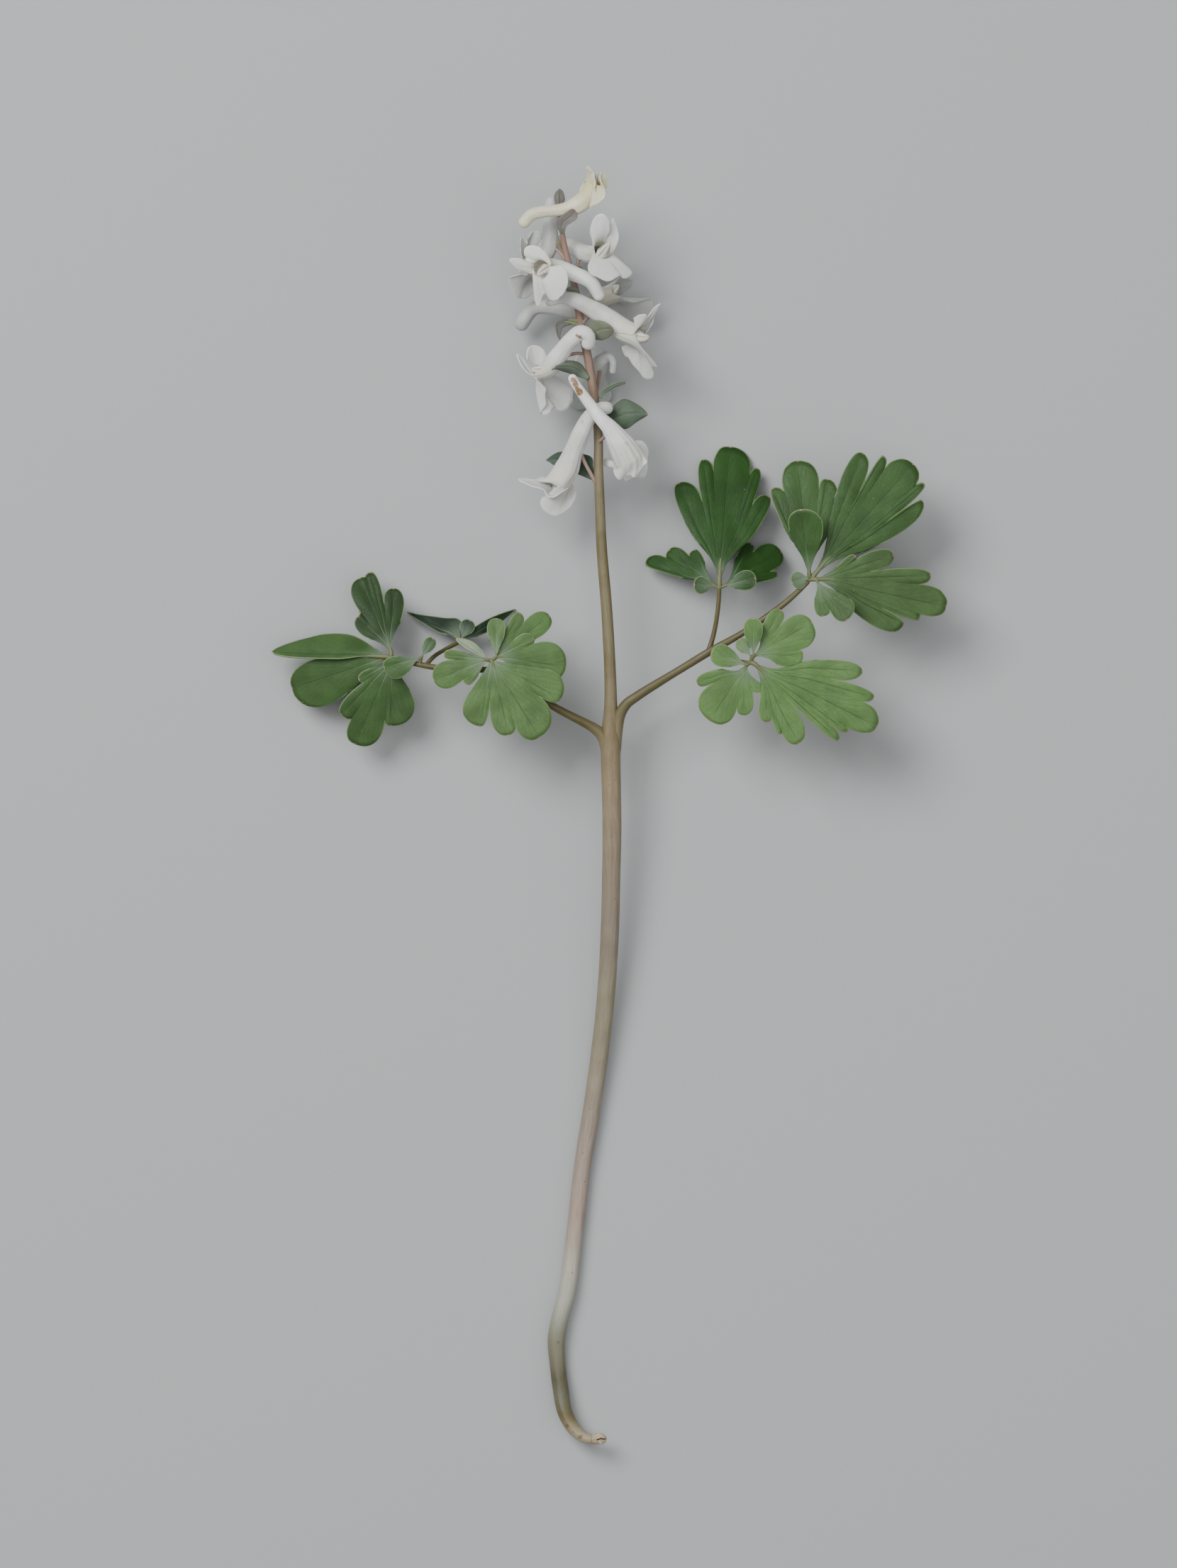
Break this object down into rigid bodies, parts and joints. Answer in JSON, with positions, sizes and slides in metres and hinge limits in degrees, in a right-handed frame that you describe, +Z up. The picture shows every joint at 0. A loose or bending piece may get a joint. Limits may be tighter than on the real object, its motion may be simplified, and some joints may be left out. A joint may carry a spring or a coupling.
{
  "type": "corydalis flower",
  "caption": "Cut stem of a white spring woodland flower lying on its back, with a raceme of spurred blossoms, small bracts and two divided leaves.",
  "frame": {"origin": "on the surface that the plant lies on, under the centre of its bounding box", "axes": "+Y runs along the stem from the cut end to the top flower, +Z points up from the surface, +X to the side of the larger leaf"},
  "size_m": [0.132, 0.2498, 0.0239],
  "materials": {
    "stem": "smooth, faintly waxy, brown green above, pinkish and pale towards the cut end",
    "leaf_stalk": "smooth, faintly waxy brown green",
    "leaf": "matt green with a grey bloom and fine darker veins",
    "bract": "matt grey green, some with a reddish edge",
    "petal": "soft waxy white, slightly translucent, with fine veins",
    "inner_petal": "soft cream with a dark purple tip"
  },
  "bodies": {
    "root": {"bract_01": "bract", "bract_02": "bract", "bract_03": "bract", "bract_04": "bract", "bract_05": "bract", "bract_06": "bract", "bract_07": "bract", "bract_08": "bract", "bract_09": "bract", "bract_10": "bract", "flower_01_inner_petals": "inner_petal", "flower_01_lower_petal": "petal", "flower_01_upper_petal": "petal", "flower_02_inner_petals": "inner_petal", "flower_02_lower_petal": "petal", "flower_02_upper_petal": "petal", "flower_03_inner_petals": "inner_petal", "flower_03_lower_petal": "petal", "flower_03_upper_petal": "petal", "flower_04_inner_petals": "inner_petal", "flower_04_lower_petal": "petal", "flower_04_upper_petal": "petal", "flower_05_inner_petals": "inner_petal", "flower_05_lower_petal": "petal", "flower_05_upper_petal": "petal", "flower_06_inner_petals": "inner_petal", "flower_06_lower_petal": "petal", "flower_06_upper_petal": "petal", "flower_07_inner_petals": "inner_petal", "flower_07_lower_petal": "petal", "flower_07_upper_petal": "petal", "flower_08_inner_petals": "inner_petal", "flower_08_lower_petal": "petal", "flower_08_upper_petal": "petal", "flower_09_inner_petals": "inner_petal", "flower_09_lower_petal": "petal", "flower_09_upper_petal": "petal", "flower_10_inner_petals": "inner_petal", "flower_10_lower_petal": "petal", "flower_10_upper_petal": "petal", "leaf_a_left": "leaf", "leaf_a_middle": "leaf", "leaf_a_right": "leaf", "leaf_b_left": "leaf", "leaf_b_middle": "leaf", "leaf_b_right": "leaf", "leaf_c_left": "leaf", "leaf_c_middle": "leaf", "leaf_c_right": "leaf", "leaf_d_left": "leaf", "leaf_d_middle": "leaf", "leaf_d_right": "leaf", "leaf_e_left": "leaf", "leaf_e_middle": "leaf", "leaf_e_small": "leaf", "leaf_e_upper": "leaf", "leaf_f": "leaf", "left_leaf_stalk": "leaf_stalk", "right_leaf_stalk": "leaf_stalk", "stem": "stem"}
  },
  "joints": []
}
